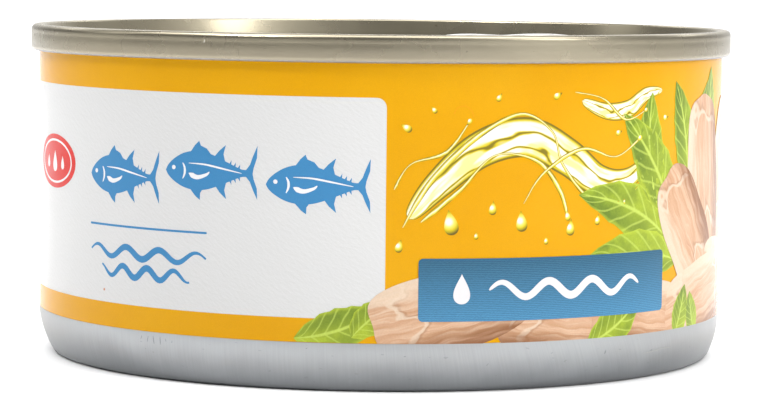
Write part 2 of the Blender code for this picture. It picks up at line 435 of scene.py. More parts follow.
shell = {
    "heelTop": 5.3 * mm,
    "heelRadius": 11.0 * mm,
    "toeRadius": 0.9 * mm,
    "toeAngle": 26.0,
    "footWidth": 1.1 * mm,
    "footRound": 0.35 * mm,
    "footInside": 0.35 * mm,
    "recess": 1.6 * mm,
    "recessRound": 0.45 * mm,
    "recessLean": 0.2 * mm,
    "beads": (31.0 * mm, 23.0 * mm),  # rings pressed in the base
    "beadWidth": 2.4 * mm,
    "beadDepth": 0.5 * mm,
    "behindWrap": 0.21 * mm,
    "pressed": 0.5 * mm,  # the foot is pressed in a little on the left
    "top": can["height"] - 3.1 * mm,
    "underLid": 0.3 * mm,
    "shoulder": (1.0 * mm, 0.6 * mm),  # a slope inside the seam
    "ledge": (0.1 * mm, 0.02 * mm),  # above and below the wrap's lower edge
    "smooth": 40,  # edges flatter than this many degrees look smooth
}


def beadPoints(radius, level, width, depth, steps=10):  # a pressed ring with a round section
    return [(radius + width * (0.5 - t), level - depth * 0.5 * (1 - math.cos(2 * math.pi * t)))
            for t in spread(steps)]


def makeShell():
    s, wall = shell, can["wall"]
    heel = arcPoints((wall - s["heelRadius"], s["heelTop"]), s["heelRadius"], 0, -s["toeAngle"], steps=14)
    lean = math.radians(s["toeAngle"])
    toeCentre = (
        heel[-1][0] - s["toeRadius"] * math.cos(lean),
        heel[-1][1] + s["toeRadius"] * math.sin(lean),
    )
    toe = arcPoints(toeCentre, s["toeRadius"], -s["toeAngle"], -90, steps=8)
    stretch = s["heelTop"] / (s["heelTop"] - toe[-1][1])  # brings the toe down to the ground
    outside = [(r, s["heelTop"] - (s["heelTop"] - z) * stretch) for r, z in heel + toe[1:]]
    inner = outside[-1][0] - s["footWidth"]
    foot = arcPoints((inner, s["footRound"]), s["footRound"], -90, -170, steps=5)
    cornerCentre = (
        inner - s["footRound"] - s["footInside"] - s["recessRound"] + s["recessLean"],
        s["recess"] - s["recessRound"],
    )
    corner = arcPoints(cornerCentre, s["recessRound"], 20, 90, steps=6)
    base = []
    for bead in s["beads"]:
        base += beadPoints(bead, s["recess"], s["beadWidth"], s["beadDepth"])
    behind = wall - s["behindWrap"]
    under = can["lidUnder"] - s["underLid"]
    top = [
        (0.0, under),
        (behind - s["shoulder"][0], under),
        (behind - s["shoulder"][1], s["top"]),
        (behind, s["top"]),
        (behind, can["wrapBottom"] + s["ledge"][0]),
        (wall, can["wrapBottom"] - s["ledge"][1]),
    ]
    piece = turnedPiece("canShell", top + outside + foot + corner + base + [(0.0, s["recess"])])
    for vertex in piece.data.vertices:
        low = 1 - min(1.0, max(0.0, vertex.co.z / s["heelTop"]))
        side = max(0.0, -vertex.co.x / wall)
        if math.hypot(vertex.co.x, vertex.co.y) > s["beads"][0] + s["beadWidth"]:
            vertex.co.x += s["pressed"] * low * side ** 3
    smoothByAngle(piece, s["smooth"])
    piece.data.materials.append(bareTinFinish())
    settle(piece, "can_body")


# Lid: seam, inner wall, groove and panel

lid = {
    "seamLength": 3.15 * mm,
    "lipRadius": 0.55 * mm,
    "faceBulge": 0.022 * mm,
    "crestRadius": 0.6 * mm,
    "innerRadius": 0.32 * mm,
    "ridge": 0.90 * mm,  # a fine ridge left by the seaming roll, below the top
    "ridgeWidth": 0.24 * mm,
    "ridgeHeight": 0.0008 * mm,
    "seamWall": 1.6 * mm,
    "taper": 1.2 * mm,
    "grooveDepth": 4.7 * mm,
    "grooveRadius": 0.55 * mm,
    "panelDepth": 3.3 * mm,
    "panelRadius": 38.9 * mm,
    "panelRound": 0.4 * mm,
    "score": 37.9 * mm,
    "scoreWidth": 0.45 * mm,
    "scoreDepth": 0.14 * mm,
    "guard": 36.6 * mm,  # raised ring beside the score
    "guardWidth": 1.4 * mm,
    "guardHeight": 0.22 * mm,
    "recess": 29.6 * mm,
    "recessDepth": 0.4 * mm,
    "recessSlope": 1.4 * mm,
    "centreRing": 12.0 * mm,
    "insideWall": 1.25 * mm,  # the underside fits inside the body's wall
    "underSlope": 0.9 * mm,
    "underStep": 0.25 * mm,
    "underGap": 0.001 * mm,
    "edgeHeight": 0.22 * mm,  # bare edge at the seam's foot
    "edgeReach": 0.5 * mm,
    "smooth": 35,
}
panelHeight = can["height"] - lid["panelDepth"]


def stepPoints(outer, inner, high, low, steps=8):  # a soft step down, seen going inwards
    return [(outer + (inner - outer) * t, low + (high - low) * 0.5 * (1 + math.cos(math.pi * t)))
            for t in spread(steps)]


def lidProfile():
    s, top, seam = lid, can["height"], can["seam"]
    lipCentre = (seam - s["lipRadius"], top - s["seamLength"] + s["lipRadius"])
    points = arcPoints(lipCentre, s["lipRadius"], -88, 0, steps=12)
    faceLow, faceHigh = lipCentre[1], top - s["ridge"] - s["ridgeWidth"] / 2
    for t in spread(6)[1:]:
        points.append((seam + s["faceBulge"] * math.sin(math.pi * t), faceLow + (faceHigh - faceLow) * t))
    for t in spread(8)[1:-1]:
        swell = 0.5 * (1 - math.cos(2 * math.pi * t))
        points.append((seam + s["ridgeHeight"] * swell, faceHigh + s["ridgeWidth"] * t))
    points += arcPoints((seam - s["crestRadius"], top - s["crestRadius"]), s["crestRadius"], 0, 90, steps=9)
    crest = seam - s["seamWall"]
    innerCentre = (crest + s["innerRadius"], top - s["innerRadius"])
    points += arcPoints(innerCentre, s["innerRadius"], 90, 180, steps=9)
    grooveCentre = (crest - s["taper"] - s["grooveRadius"], top - s["grooveDepth"] + s["grooveRadius"])
    points += arcPoints(grooveCentre, s["grooveRadius"], 12, -180, steps=12)
    rise = s["panelRound"]
    points += arcPoints((s["panelRadius"] - rise, panelHeight - rise), rise, 0, 90, steps=7)
    points += beadPoints(s["score"], panelHeight, s["scoreWidth"], s["scoreDepth"], steps=6)
    points += beadPoints(s["guard"], panelHeight, s["guardWidth"], -s["guardHeight"])
    low, half = panelHeight - s["recessDepth"], s["recessSlope"] / 2
    points += stepPoints(s["recess"] + half, s["recess"] - half, panelHeight, low)
    return points + [(s["centreRing"], low), (0.0, low)]


def makeLid():
    s, under = lid, can["lidUnder"]
    behind = can["wall"] - s["insideWall"]
    seamFoot = can["height"] - s["seamLength"]
    bottom = [
        (0.0, under),
        (behind - s["underSlope"], under),
        (behind - s["underStep"], under + s["underStep"]),
        (behind, under + s["underSlope"]),
        (behind, seamFoot - s["underGap"]),
    ]
    piece = turnedPiece("lidShell", lidProfile()[::-1] + bottom[::-1])
    for finish in (lacquerFinish(), linedFinish("lacquered rolled sheet", rolledSheet), dullEdgeFinish()):
        piece.data.materials.append(finish)
    for face in piece.data.polygons:
        radius = math.hypot(face.center.x, face.center.y)
        if radius < s["panelRadius"] and face.center.z > under + s["underSlope"]:
            face.material_index = 1
        elif radius > can["wall"] - s["edgeReach"] and face.center.z < seamFoot + s["edgeHeight"]:
            face.material_index = 2
    smoothByAngle(piece, s["smooth"])
    settle(piece, "lid")


# Rivet and ring-pull tab

tab = {
    "bearing": math.radians(33),
    "rivet": 33.2 * mm,  # from the can's axis
    "thickness": 1.5 * mm,
    "edge": 0.68 * mm,
    "edgeSteps": 5,
    "clearance": 0.4 * mm,
    "roll": math.radians(-1.6),
    "ringCentre": -14.0 * mm,
    "ringRadius": 9.3 * mm,
    "noseCentre": -1.0 * mm,
    "noseRadius": 5.3 * mm,
    "holeCentre": -14.6 * mm,
    "holeLength": 11.8 * mm,
    "holeWidth": 12.6 * mm,
    "arch": 0.37 * mm,  # how far the ring's shoulders stand up
    "archCentre": -15.0 * mm,
    "archReach": 5.0 * mm,
    "pocket": 3.9 * mm,
    "island": 0.7 * mm,
    "shankHole": 2.0 * mm,
    "soften": 0.12 * mm,
    "softenSteps": 3,
    "softenFrom": math.radians(50),
    "cuts": range(-33, 7),  # cuts across, so that the plate can arch
    "cutEvery": 0.75 * mm,
    "weld": 0.012 * mm,
    "smooth": 40,
}
tabPlace = (
    Matrix.Translation((
        tab["rivet"] * math.cos(tab["bearing"]),
        tab["rivet"] * math.sin(tab["bearing"]),
        panelHeight + tab["clearance"],
    ))
    @ Matrix.Rotation(tab["bearing"], 4, "Z")
    @ Matrix.Rotation(tab["roll"], 4, "X")
)


def tabOutline():
    s = tab
    lean = math.degrees(math.acos((s["ringRadius"] - s["noseRadius"]) / (s["noseCentre"] - s["ringCentre"])))
    nose = arcPoints((s["noseCentre"], 0), s["noseRadius"], -lean, lean, steps=28)
    return nose + arcPoints((s["ringCentre"], 0), s["ringRadius"], lean, 360 - lean, steps=72)


def cylinderAt(radius, low, high, name):  # round the tab's own middle
    deselectAll()
    bpy.ops.mesh.primitive_cylinder_add(
        vertices=64, radius=radius, depth=high - low, location=(0, 0, (low + high) / 2)
    )
    made = bpy.context.active_object
    made.name = name
    bpy.ops.object.transform_apply(location=True, rotation=True, scale=True)
    return made


def carve(piece, cutter):
    cut = piece.modifiers.new("carve", "BOOLEAN")
    cut.operation = "DIFFERENCE"
    cut.object = cutter
    applyModifiers(piece)
    bpy.data.objects.remove(cutter)


def makeTab():
    s = tab
    outline = bpy.data.curves.new("tabOutline", "CURVE")
    outline.dimensions = "2D"
    outline.fill_mode = "BOTH"
    outline.extrude = s["thickness"] / 2 - s["edge"]
    outline.bevel_depth = s["edge"]
    outline.bevel_resolution = s["edgeSteps"]
    outline.offset = -s["edge"]
    hole = ovalPoints(s["holeCentre"], 0, s["holeLength"] / 2, s["holeWidth"] / 2, steps=72)
    for points in (tabOutline(), hole):
        line = outline.splines.new("POLY")
        line.points.add(len(points) - 1)
        for point, (x, y) in zip(line.points, points):
            point.co = (x, y, 0, 1)
        line.use_cyclic_u = True
    piece = bpy.data.objects.new("ringPull", outline)
    bpy.context.scene.collection.objects.link(piece)
    pick(piece)
    bpy.ops.object.convert(target="MESH")
    piece = bpy.context.active_object
    editing(piece)
    weldOutwards()
    bpy.ops.transform.translate(value=(0, 0, s["thickness"] / 2))
    doneEditing()
    above = 3 * s["thickness"]
    carve(piece, cylinderAt(s["pocket"], s["island"], above, "pocketCutter"))
    carve(piece, cylinderAt(s["shankHole"], -s["thickness"], above, "shankCutter"))
    soften = piece.modifiers.new("soften", "BEVEL")
    soften.width = s["soften"]
    soften.segments = s["softenSteps"]
    soften.limit_method = "ANGLE"
    soften.angle_limit = s["softenFrom"]
    applyModifiers(piece)
    editing(piece)
    for k in s["cuts"]:
        cutAcross((k * s["cutEvery"], 0, 0), (1, 0, 0), cutWithin * mm)
    pickMesh()
    bpy.ops.mesh.remove_doubles(threshold=s["weld"])
    doneEditing()
    for vertex in piece.data.vertices:
        away = (vertex.co.x - s["archCentre"]) / s["archReach"]
        vertex.co.z += s["arch"] * math.exp(-away * away)
    piece.data.transform(tabPlace)
    smoothByAngle(piece, s["smooth"])
    piece.data.materials.append(linedFinish("pressed aluminium", pressedMetal))
    settle(piece, "pull_tab")


rivet = {
    "shank": 1.7 * mm,
    "head": 3.1 * mm,
    "headHeight": 0.45 * mm,
    "round": 0.18 * mm,
    "dimple": 1.3 * mm,
    "dimpleDepth": 0.15 * mm,
    "overTab": 0.3 * mm,
    "fillet": 0.15 * mm,
    "flange": 0.6 * mm,
    "sunk": 0.3 * mm,
    "sides": 72,
    "smooth": 35,
}


def makeRivet():
    s = rivet
    low = panelHeight + tab["clearance"] + tab["island"] + s["overTab"]
    high = low + s["headHeight"]
    edge, fillet = s["head"] - s["round"], s["fillet"]
    profile = [
        (0.0, high - s["dimpleDepth"]),
        (s["dimple"] - s["dimpleDepth"], high - s["dimpleDepth"]),
        (s["dimple"], high),
    ]
    profile += arcPoints((edge, high - s["round"]), s["round"], 90, 0, steps=5)
    profile += arcPoints((edge, low + s["round"]), s["round"], 0, -90, steps=5)
    profile += [(s["shank"], low), (s["shank"], panelHeight + fillet)]
    profile += arcPoints((s["shank"] + fillet, panelHeight + fillet), fillet, 180, 270, steps=4)
    profile += [(s["shank"] + s["flange"], z) for z in (panelHeight, panelHeight - s["sunk"])]
    profile += [(0.0, panelHeight - s["sunk"])]
    piece = turnedPiece("lidRivet", profile, sides=s["sides"])
    piece.data.transform(Matrix.Translation((tabPlace.translation.x, tabPlace.translation.y, 0)))
    smoothByAngle(piece, s["smooth"])
    piece.data.materials.append(lacquerFinish())
    settle(piece)


# Printed wrap: inks, then shapes. Flat places are in millimetres: along the wall from the front, and up.

wrap = {
    "top": can["height"] - lid["seamLength"] - 0.02 * mm,
    "thickness": 0.2 * mm,
    "edge": 0.02 * mm,
    "ink": 0.012 * mm,  # step between printed layers
    "inkBody": 0.024 * mm,
    "margins": (0.02, 0.2),  # mm left free below and above the shapes
    "round": 2 * math.pi * can["wall"] / mm,  # mm round the wall
    "askew": -0.0040,  # the print sits a touch lower on the right
    "smooth": 30,
}
gloss = {"roughness": 0.15, "ior": 1.5, "sheen": 0.10, "screen": (2, 0.7), "screenEnds": (0.3, 0.7)}


def inkGrain(tree, colour, amount=0.05, scale=9.0):  # the fine screen of the print
    fine = noise(tree, objectPlace(tree), scale, *gloss["screen"])
    value = rescale(tree, fine, gloss["screenEnds"], 1 - amount, 1 + amount)
    return addNode(tree, "HueSaturation", Color=colour, Value=value).outputs[0]


def inkFinish(name, colour):
    return newFinish(name, colour, gloss["roughness"], 0.0, gloss["ior"], gloss["sheen"])


def plainInk(name, colour, amount=0.05):
    made, tree, shader = inkFinish(name, colour)
    put(tree, shader, "Base Color", inkGrain(tree, colour, amount))
    return made


def coated(tree, base, values, s):  # inks laid over each other, each following one of the values
    colour = s[base]
    for follows, start, end, first, last, ink, smooth in s["coats"]:
        share = rescale(tree, values[follows], (start, end), first, last, smooth)
        colour = mixColour(tree, share, colour, s[ink])
    return colour


yellowInk = {
    "colour": (0.580, 0.287, 0.003),
    "shade": (0.558, 0.267, 0.001),
    "clouds": (0.09, 3, 0.5),
    "toneEnds": (0.35, 0.65),
}


def yellowFinish():
    s = yellowInk
    made, tree, shader = inkFinish("warm yellow print", s["colour"])
    tone = rescale(tree, noise(tree, objectPlace(tree), *s["clouds"]), s["toneEnds"])
    put(tree, shader, "Base Color", inkGrain(tree, mixColour(tree, tone, s["shade"], s["colour"])))
    return made


paperInk = {  # like rough paper lit from one side
    "colour": (0.53, 0.53, 0.53),
    "light": (0.558, 0.558, 0.560),
    "shade": (0.496, 0.496, 0.491),
    "lean": math.radians(33),
    "stretch": (0.45, 1.0, 1.0),
    "grain": (3.0, 4, 0.62),
    "step": 0.09,
    "slopeEnds": (-0.20, 0.20),
    "screen": 0.025,
}


def paperFinish():
    s = paperInk
    made, tree, shader = inkFinish("grained white print", s["colour"])
    turned = addNode(tree, "Mapping", Vector=printPlace(tree, "print"), Rotation=(0, 0, s["lean"])).outputs[0]
    place = stretched(tree, turned, s["stretch"])
    near = addNode(tree, "Mapping", Vector=place, Location=(0.0, s["step"], 0.0)).outputs[0]
    slope = calc(tree, "SUBTRACT", noise(tree, place, *s["grain"]), noise(tree, near, *s["grain"]))
    paper = mixColour(tree, rescale(tree, slope, s["slopeEnds"]), s["shade"], s["light"])
    put(tree, shader, "Base Color", inkGrain(tree, paper, s["screen"]))
    return made


bannerInk = {
    "top": (0.032, 0.100, 0.166),
    "low": (0.062, 0.202, 0.348),
    "rows": {"Scale": 1.55, "Distortion": 2.4, "Detail": 2.0, "Detail Scale": 3.0},
    "rowValues": (0.74, 1.16),
    "screen": 0.08,
}


def bannerFinish(low, high):
    s = bannerInk
    made, tree, shader = inkFinish("blue banner print", s["low"])
    flat = printPlace(tree, "print")
    height = addNode(tree, "SeparateXYZ", Vector=flat).outputs[1]
    fall = mixColour(tree, rescale(tree, height, (low, high)), s["low"], s["top"])
    rows = addNode(tree, "TexWave", {"bands_direction": "Y"}, Vector=flat, **s["rows"])
    woven = rescale(tree, rows.outputs["Fac"], (0, 1), *s["rowValues"])
    colour = addNode(tree, "HueSaturation", Color=fall, Value=woven).outputs[0]
    put(tree, shader, "Base Color", inkGrain(tree, colour, s["screen"]))
    return made


leafInk = {
    "light": (0.385, 0.460, 0.038),
    "mid": (0.190, 0.272, 0.026),
    "deep": (0.058, 0.112, 0.018),
    "vein": (0.42, 0.51, 0.092),
    "clouds": (0.45, 3, 0.6),
    "ribLean": -0.22,
    "ribs": 44.0,
    "coats": (  # what it follows, from, to, share there and there, ink, soft or not
        ("clouds", 0.36, 0.62, 0, 1, "mid", False),
        ("along", 0.0, 1.0, 0.75, 0.1, "light", False),
        ("side", -0.2, 0.5, 0.0, 0.45, "deep", False),
        ("ribs", 0.72, 1.0, 0, 0.55, "vein", False),
        ("across", 0.03, 0.10, 0.9, 0.0, "vein", False),
        ("across", 0.80, 0.98, 0.0, 0.6, "light", False),
    ),
    "screen": (0.08, 5.0),
}


def leafFinish():
    s = leafInk
    made, tree, shader = inkFinish("green leaf print", s["mid"])
    along, side = addNode(tree, "SeparateXYZ", Vector=printPlace(tree, "shape")).outputs[:2]
    across = calc(tree, "ABSOLUTE", side)
    slanted = calc(tree, "MULTIPLY_ADD", across, s["ribLean"], along)
    values = {
        "clouds": noise(tree, objectPlace(tree), *s["clouds"]),
        "along": along,
        "side": side,
        "across": across,
        "ribs": calc(tree, "SINE", calc(tree, "MULTIPLY", slanted, s["ribs"])),
    }
    put(tree, shader, "Base Color", inkGrain(tree, coated(tree, "deep", values, s), *s["screen"]))
    return made


filletInk = {  # soft fibres along the slice, a pale upper side, a brown lower edge and a few flakes
    "flesh": (0.447, 0.256, 0.148),
    "light": (0.525, 0.342, 0.228),
    "cream": (0.590, 0.470, 0.360),
    "brown": (0.200, 0.084, 0.036),
    "rose": (0.373, 0.186, 0.107),
    "wander": (1.6, 2, 0.5),
    "bend": 0.5,
    "fine": (1.6, 3, 0.6),
    "fineStretch": (1.1, 13.0, 1.0),
    "broad": (1.7, 2, 0.5),
    "broadStretch": (0.6, 3.4, 1.0),
    "flakes": (4.6, 1.6, 7.0),  # along, across and astray
    "flakeEdge": 0.30,
    "shadeShare": 0.7,
    "shadeShift": 0.35,
    "coats": (
        ("broad", 0.36, 0.62, 0, 1, "light", True),
        ("fine", 0.52, 0.72, 0, 0.55, "cream", False),
        ("fine", 0.42, 0.28, 0, 0.60, "rose", False),
        ("edge", 0.90, 1.0, 0, 0.34, "brown", True),
        ("flake", 0.93, 1.0, 0, 0.75, "cream", True),
        ("shade", -0.30, -1.0, 0, 0.95, "brown", True),
        ("shade", 0.25, 0.80, 0, 0.8, "cream", True),
    ),
    "screen": (0.05, 5.0),
}


def filletFinish():
    s = filletInk
    made, tree, shader = inkFinish("cooked fish print", s["flesh"])
    flat = printPlace(tree, "shape")
    u, v = addNode(tree, "SeparateXYZ", Vector=flat).outputs[:2]
    wander = noise(tree, flat, *s["wander"])
    bent = addNode(tree, "CombineXYZ", in0=u, in1=calc(tree, "MULTIPLY_ADD", wander, s["bend"], v)).outputs[0]
    broad = noise(tree, stretched(tree, bent, s["broadStretch"]), *s["broad"])
    along, across, astray = s["flakes"]
    phase = calc(tree, "MULTIPLY_ADD", calc(tree, "ABSOLUTE", v), across, calc(tree, "MULTIPLY", u, along))
    phase = calc(tree, "MULTIPLY_ADD", wander, astray, phase)
    lowered = calc(tree, "SUBTRACT", v, s["shadeShift"])
    values = {
        "broad": broad,
        "fine": noise(tree, stretched(tree, bent, s["fineStretch"]), *s["fine"]),
        "edge": calc(tree, "SINE", calc(tree, "SUBTRACT", phase, s["flakeEdge"])),
        "flake": calc(tree, "SINE", phase),
        "shade": calc(tree, "MULTIPLY_ADD", broad, s["shadeShare"], lowered),
    }
    put(tree, shader, "Base Color", inkGrain(tree, coated(tree, "flesh", values, s), *s["screen"]))
    return made


oilInk = {
    "pale": (0.670, 0.665, 0.600),
    "warm": (0.720, 0.590, 0.125),
    "gold": (0.540, 0.435, 0.018),
    "olive": (0.120, 0.088, 0.016),
    "glint": (0.88, 0.87, 0.80),
    "wander": (1.5, 2, 0.5),
    "wanderStretch": (3.2, 0.55, 1.0),
    "wanderBy": 1.5,
    "strands": 8.0,
    "glow": (1.3, 2, 0.5),
    "glowStretch": (4.5, 1.1, 1.0),
    "coats": (
        ("glow", 0.48, 0.62, 0, 0.75, "warm", True),
        ("strands", 0.62, 0.90, 0, 1, "gold", False),
        ("strands", 0.92, 0.99, 0, 0.85, "olive", False),
        ("edge", 0.72, 0.84, 0, 1, "gold", False),
        ("edge", 0.85, 0.92, 0, 0.9, "olive", False),
    ),
    "thread": (1.2, 2, 0.5),
    "threadStretch": (14.0, 0.5, 1.0),
    "threadBy": 0.5,
    "threadEnds": (-0.25, 0.75),
    "threadStops": (
        (0.0, "olive"), (0.20, "gold"), (0.42, "warm"), (0.58, "pale"), (0.74, "gold"), (1.0, "olive"),
    ),
    "dropLight": (-0.22, 0.30, 0),
    "dropReach": 1.5,
    "dropStops": ((0.0, "glint"), (0.16, "pale"), (0.34, "warm"), (0.55, "gold"), (0.80, "olive")),
}


def oilFinish():
    s = oilInk
    made, tree, shader = inkFinish("golden oil print", s["gold"])
    flat = printPlace(tree, "shape")
    across = addNode(tree, "SeparateXYZ", Vector=flat).outputs[1]
    wander = noise(tree, stretched(tree, flat, s["wanderStretch"]), *s["wander"])
    middle = calc(tree, "SUBTRACT", across, s["wanderBy"] / 2)
    strand = calc(tree, "MULTIPLY", calc(tree, "MULTIPLY_ADD", wander, s["wanderBy"], middle), s["strands"])
    values = {
        "strands": calc(tree, "SINE", strand),
        "glow": noise(tree, stretched(tree, flat, s["glowStretch"]), *s["glow"]),
        "edge": calc(tree, "ABSOLUTE", across),
    }
    put(tree, shader, "Base Color", inkGrain(tree, coated(tree, "pale", values, s)))
    return made


def cordFinish():  # round like a thread of oil: dark at both edges, a light along the middle
    s = oilInk
    made, tree, shader = inkFinish("oil thread print", s["gold"])
    flat = printPlace(tree, "shape")
    across = addNode(tree, "SeparateXYZ", Vector=flat).outputs[1]
    wander = noise(tree, stretched(tree, flat, s["threadStretch"]), *s["thread"])
    level = rescale(tree, across, (-1, 1), *s["threadEnds"])
    place = calc(tree, "MULTIPLY_ADD", wander, s["threadBy"], level)
    tone = ramp(tree, place, [(stop, s[ink]) for stop, ink in s["threadStops"]])
    put(tree, shader, "Base Color", inkGrain(tree, tone))
    return made


def beadFinish():  # drops: a light at the upper left, a dark lower rim
    s = oilInk
    made, tree, shader = inkFinish("oil drop print", s["gold"])
    flat = printPlace(tree, "shape")
    away = addNode(tree, "VectorMath", {"operation": "SUBTRACT"}, in0=flat, in1=s["dropLight"])
    reach = addNode(tree, "VectorMath", {"operation": "LENGTH"}, in0=away.outputs[0]).outputs["Value"]
    place = rescale(tree, reach, (0, s["dropReach"]))
    tone = ramp(tree, place, [(stop, s[ink]) for stop, ink in s["dropStops"]])
    put(tree, shader, "Base Color", inkGrain(tree, tone))
    return made


# Shapes on the wall

def uvLayer(mesh, name, placeAt):
    layer = mesh.uv_layers.new(name=name)
    for loop in mesh.loops:
        layer.data[loop.index].uv = placeAt(mesh.vertices[loop.vertex_index].co)


def startFlat(name, finish):  # takes over the primitive that was just added
    piece = bpy.context.active_object
    piece.name = piece.data.name = name
    for old in list(piece.data.uv_layers):
        piece.data.uv_layers.remove(old)
    piece.data.materials.append(finish)
    return piece


def flatToWall(piece, layer, radiusAt=None):
    mesh = piece.data
    xs = [v.co.x for v in mesh.vertices]
    ys = [v.co.y for v in mesh.vertices]
    step = facet / mm
    editing(piece)
    for k in range(math.ceil(min(xs) / step), math.floor(max(xs) / step) + 1):  # a cut at each facet's edge
        cutAcross((k * step, 0, 0), (1, 0, 0), cutWithin)
    low, high = can["wrapBottom"] / mm + wrap["margins"][0], wrap["top"] / mm - wrap["margins"][1]
    if min(ys) < low and not radiusAt:
        cutAcross((0, low, 0), (0, 1, 0), cutWithin, clear_inner=True)
    if max(ys) > high and not radiusAt:
        cutAcross((0, high, 0), (0, 1, 0), cutWithin, clear_outer=True)
    pickMesh()
    bpy.ops.mesh.quads_convert_to_tris(ngon_method="BEAUTY")
    doneEditing()
    uvLayer(mesh, "print", lambda spot: (spot.x, spot.y))
    for vertex in mesh.vertices:
        radius = can["wall"] + layer * wrap["ink"]
        if radiusAt:
            radius = radiusAt(vertex.co.y) + wrap["inkBody"] / 2
        angle = vertex.co.x * mm / can["wall"]
        x = radius * math.sin(angle)
        vertex.co = (x, -radius * math.cos(angle), vertex.co.y * mm + x * wrap["askew"])
    body = piece.modifiers.new("ink", "SOLIDIFY")
    body.thickness = wrap["inkBody"]
    body.offset = -1
    applyModifiers(piece)
    smoothByAngle(piece, wrap["smooth"])
    return piece


def inkShape(name, outline, layer, finish, centre=(0, 0), size=(1.0, 1.0), turn=0.0):
    area = sum(a[0] * b[1] - b[0] * a[1] for a, b in zip(outline, outline[1:] + outline[:1]))
    outline = outline if area > 0 else outline[::-1]  # so that it faces outwards
    deselectAll()
    bpy.ops.mesh.primitive_circle_add(vertices=len(outline), radius=1, fill_type="NGON")
    piece = startFlat(name, finish)
    for vertex, (x, y) in zip(piece.data.vertices, outline):
        vertex.co = (x, y, 0)
    piece.data.update()

    def ownPlace(spot):  # from the shape's centre, turned with it, 1 at its edge
        dx, dy = spot.x - centre[0], spot.y - centre[1]
        return (
            (dx * math.cos(turn) + dy * math.sin(turn)) / size[0],
            (dy * math.cos(turn) - dx * math.sin(turn)) / size[1],
        )

    uvLayer(piece.data, "shape", ownPlace)
    return flatToWall(piece, layer)


def inkPatch(name, columns, rows, spotAt, layer, finish, radiusAt=None):
    deselectAll()
    bpy.ops.mesh.primitive_grid_add(x_subdivisions=columns, y_subdivisions=rows, size=2)
    piece = startFlat(name, finish)
    uvLayer(piece.data, "shape", lambda spot: ((spot.x + 1) / 2, spot.y))
    for vertex in piece.data.vertices:
        vertex.co = (*spotAt((vertex.co.x + 1) / 2, vertex.co.y), 0)
    piece.data.update()
    return flatToWall(piece, layer, radiusAt)


def smoothLine(points, steps):  # a smooth curve through the points
    made = []
    last = len(points) - 1
    for i in range(last):
        p0, p1 = Vector(points[max(i - 1, 0)]), Vector(points[i])
        p2, p3 = Vector(points[i + 1]), Vector(points[min(i + 2, last)])
        for t in spread(steps)[:-1]:
            made.append(0.5 * (2 * p1 + (p2 - p0) * t + (2 * p0 - 5 * p1 + 4 * p2 - p3) * t ** 2
                               + (3 * p1 - p0 - 3 * p2 + p3) * t ** 3))
    return [(p.x, p.y) for p in made] + [tuple(points[last])]


def roundedBox(left, right, low, high, corner, steps=6):
    points = []
    for cx, cy, start in (
        (right - corner, high - corner, 0),
        (left + corner, high - corner, 90),
        (left + corner, low + corner, 180),
        (right - corner, low + corner, 270),
    ):
        points += arcPoints((cx, cy), corner, start, start + 90, steps)
    return points


def waveLine(left, right, height, swing, crests, start, steps):
    return [(left + (right - left) * t, height + swing * math.sin(2 * math.pi * crests * t + start))
            for t in spread(steps)]


dropShape = {"length": 1.25, "shift": 0.25, "slimness": 1.4, "steps": 36}


def dropOutline(x, y, radius, tip):  # a drop with its point towards tip
    s, points = dropShape, []
    for t in spread(s["steps"])[:-1]:
        a = 2 * math.pi * t
        along = s["length"] * math.cos(a) + s["shift"]
        across = math.sin(a) * math.sin(a / 2) ** s["slimness"]
        points.append((x + radius * (along * math.cos(tip) - across * math.sin(tip)),
                       y + radius * (along * math.sin(tip) + across * math.cos(tip))))
    return points


def widths(least, more=0.0, power=1.0, blunt=0.0):  # a line's width from end to end, greatest in its middle
    return lambda t: least + more * math.sin(math.pi * min(max(t, blunt), 1 - blunt)) ** power


def alongLine(points, widthAt, name, layer, finish, rows=1, radiusAt=None):
    count = len(points) - 1

    def spotAt(s, t):
        i = min(int(s * count), count - 1)
        f = s * count - i
        a, b = Vector(points[i]), Vector(points[i + 1])
        before, after = Vector(points[max(i - 1, 0)]), Vector(points[min(i + 2, count)])
        way = ((b - before).normalized() * (1 - f) + (after - a).normalized() * f).normalized()
        centre = a.lerp(b, f)
        half = widthAt(s) / 2
        return centre.x - way.y * half * t, centre.y + way.x * half * t

    return inkPatch(name, count, rows, spotAt, layer, finish, radiusAt)


def makeWrap():
    outer, inner = can["wall"], can["wall"] - wrap["thickness"]
    low, high, edge = can["wrapBottom"], wrap["top"], wrap["edge"]
    ring = [(outer, high), (outer, low + edge), (outer - edge, low), (inner, low), (inner, high)]
    piece = turnedPiece("printedWrap", ring, closed=True)
    smoothByAngle(piece, wrap["smooth"])
    piece.data.materials.append(yellowFinish())
    settle(piece, "label")


# Panel on the left: fish, waves and a seal on rough white. Places are in millimetres, counted from the shift.

panel = {"left": -64.3, "right": 0.7, "low": 8.3, "high": 32.93, "corner": 1.1}
school = {"left": -38.6, "right": -1.0, "middle": 23.6, "gap": 1.0, "count": 3, "stagger": 0.55}
rule = {"left": -38.7, "right": -20.1, "low": 17.125, "high": 17.375, "corner": 0.1}
flourish = {
    "left": -38.5,
    "right": -20.2,
    "top": 14.3,
    "step": 2.2,
    "rows": 2,
    "inset": 2.2,
    "swing": 0.62,
    "crests": 3.5,
    "offset": 1.9,  # of each row's crests, in radians
    "widths": (0, 0.78, 0.5, 0.03),
}
seal = {
    "x": -48.7,
    "y": 23.8,
    "halfLength": 6.3,
    "halfHeight": 3.2,
    "ring": (0.82, 0.78),  # size of the pale ring in it
    "ringWidth": 0.24,
    "drops": ((-2.6, 0.62), (0.0, 1.0), (2.6, 0.62)),
    "dropDown": 0.25,
}
panelInk = {
    "blue": ("mid blue print", (0.044, 0.187, 0.375)),
    "white": ("white print", (0.64, 0.65, 0.66), 0.02),
    "red": ("red print", (0.500, 0.010, 0.004)),
}
upright = math.radians(90)
